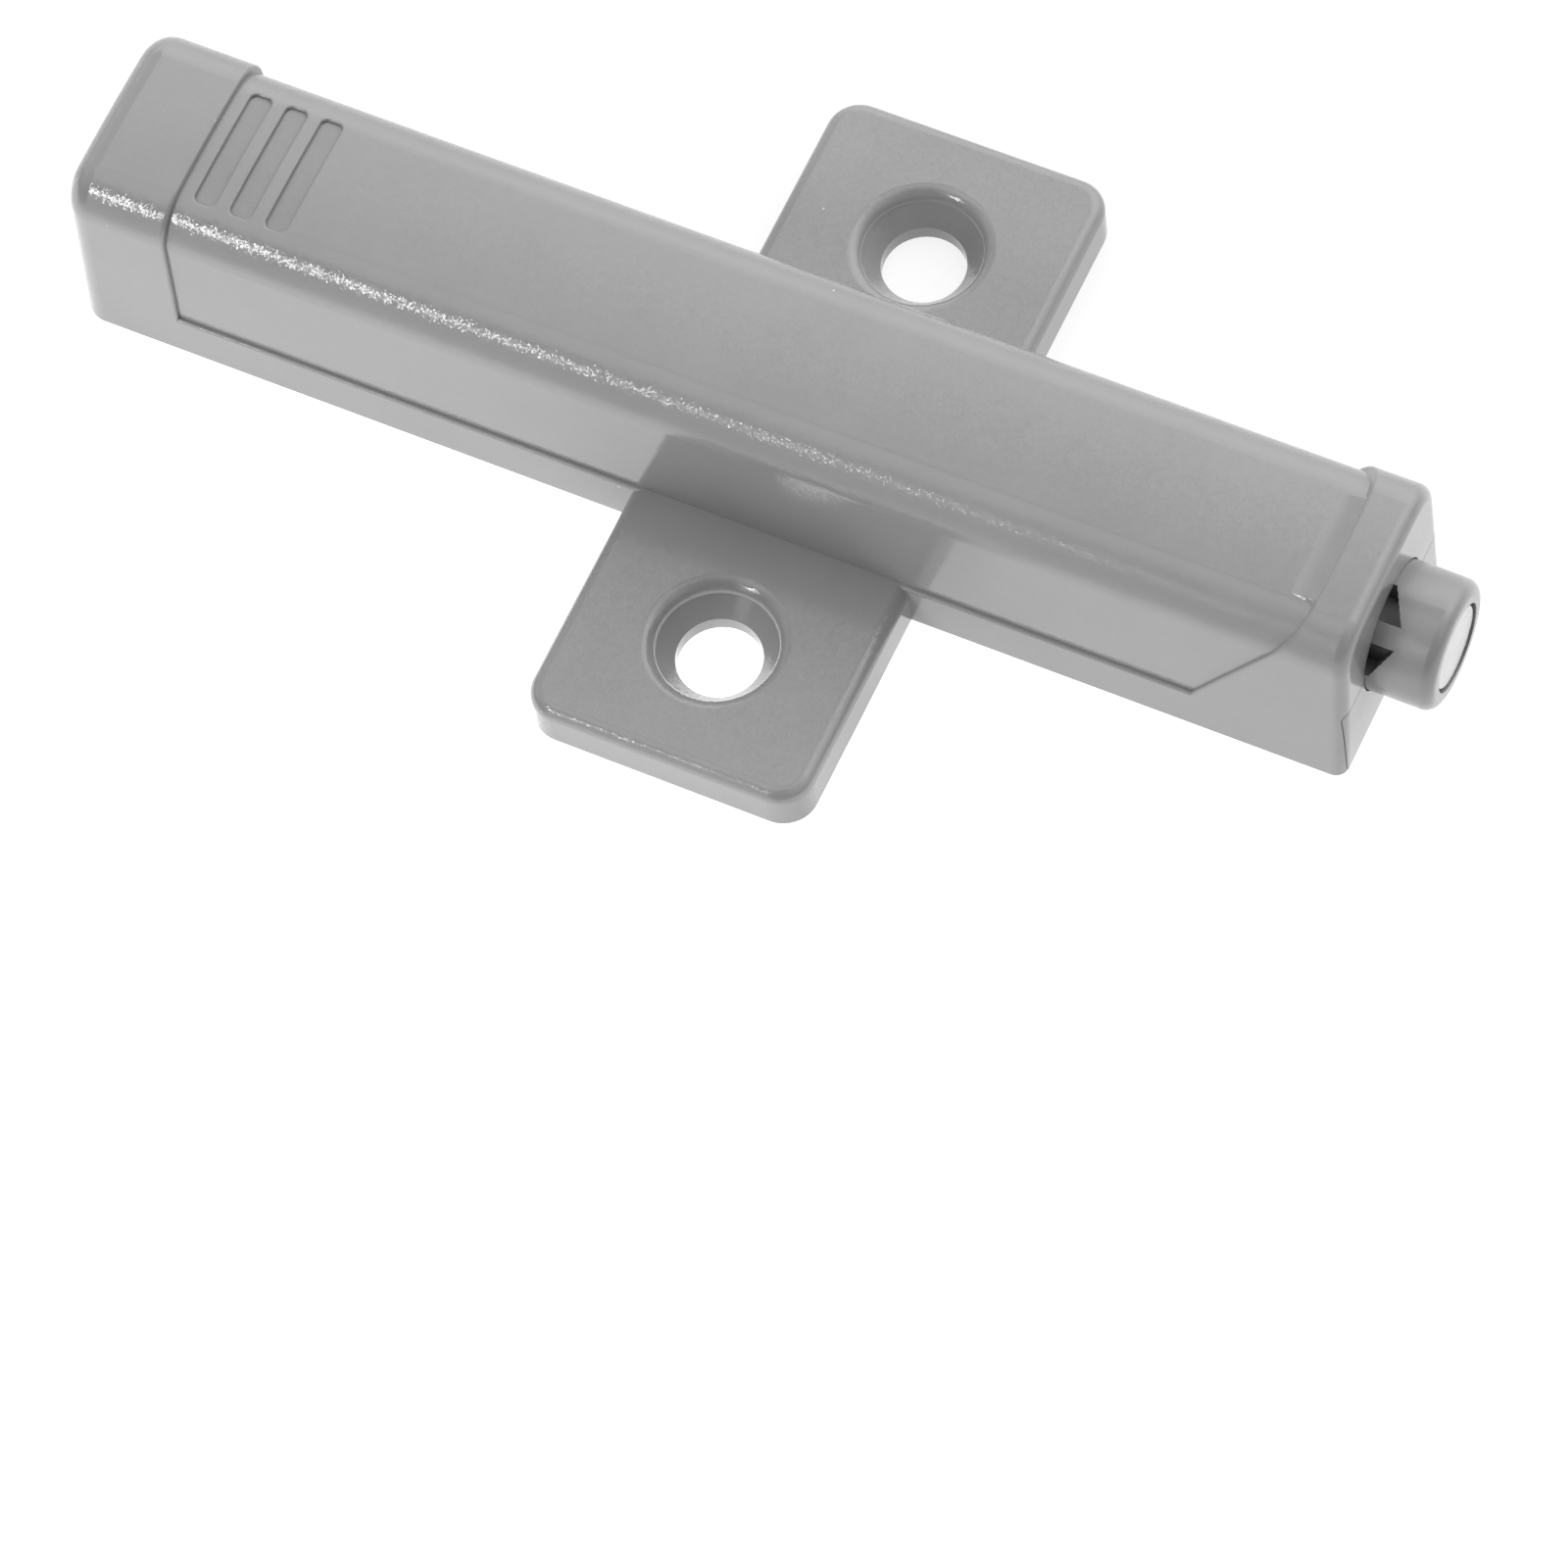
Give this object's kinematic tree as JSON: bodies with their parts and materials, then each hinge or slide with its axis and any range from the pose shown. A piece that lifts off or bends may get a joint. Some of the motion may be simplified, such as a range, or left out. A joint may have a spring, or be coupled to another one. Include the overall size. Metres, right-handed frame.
{
  "type": "push to open catch",
  "caption": "Push to open catch: a long grey plastic housing with a screw wing on each side, closed at one end, and a round spring plunger with a magnet in its tip at the other.",
  "frame": {"origin": "midway between the two screw holes, on the mounting face", "axes": "+X along the plunger towards its tip, +Z away from the panel the catch is screwed to, +Y across the wings"},
  "size_m": [0.0962, 0.05, 0.0148],
  "materials": {
    "housing_plastic": "satin, finely textured",
    "plunger_plastic": "satin",
    "magnet_plating": "bright nickel plating, slightly frosted",
    "slider_plastic": "satin",
    "spring_steel": "drawn wire",
    "rod_steel": "drawn wire"
  },
  "bodies": {
    "housing": {"housing_shell": "housing_plastic", "bottom_cover": "housing_plastic", "spring_seat": "slider_plastic", "spring_guide_rod": "rod_steel", "main_spring": "spring_steel", "follower_leaf_spring": "spring_steel"},
    "plunger": {"plunger_sleeve": "plunger_plastic", "magnet": "magnet_plating", "slider": "slider_plastic"},
    "follower": {"follower_pin": "spring_steel"}
  },
  "joints": [
    {"name": "plunger_slide", "type": "slide", "parent": "housing", "child": "plunger", "axis": [1, 0, 0], "range_m": [-0.0025, 0.032], "deforming": ["main_spring"]},
    {"name": "follower_swing", "type": "hinge", "parent": "housing", "child": "follower", "pos_m": [-0.0474, 0, 0.01205], "axis": [0, 0, 1], "range_deg": [-2.6, 2.6]}
  ]
}
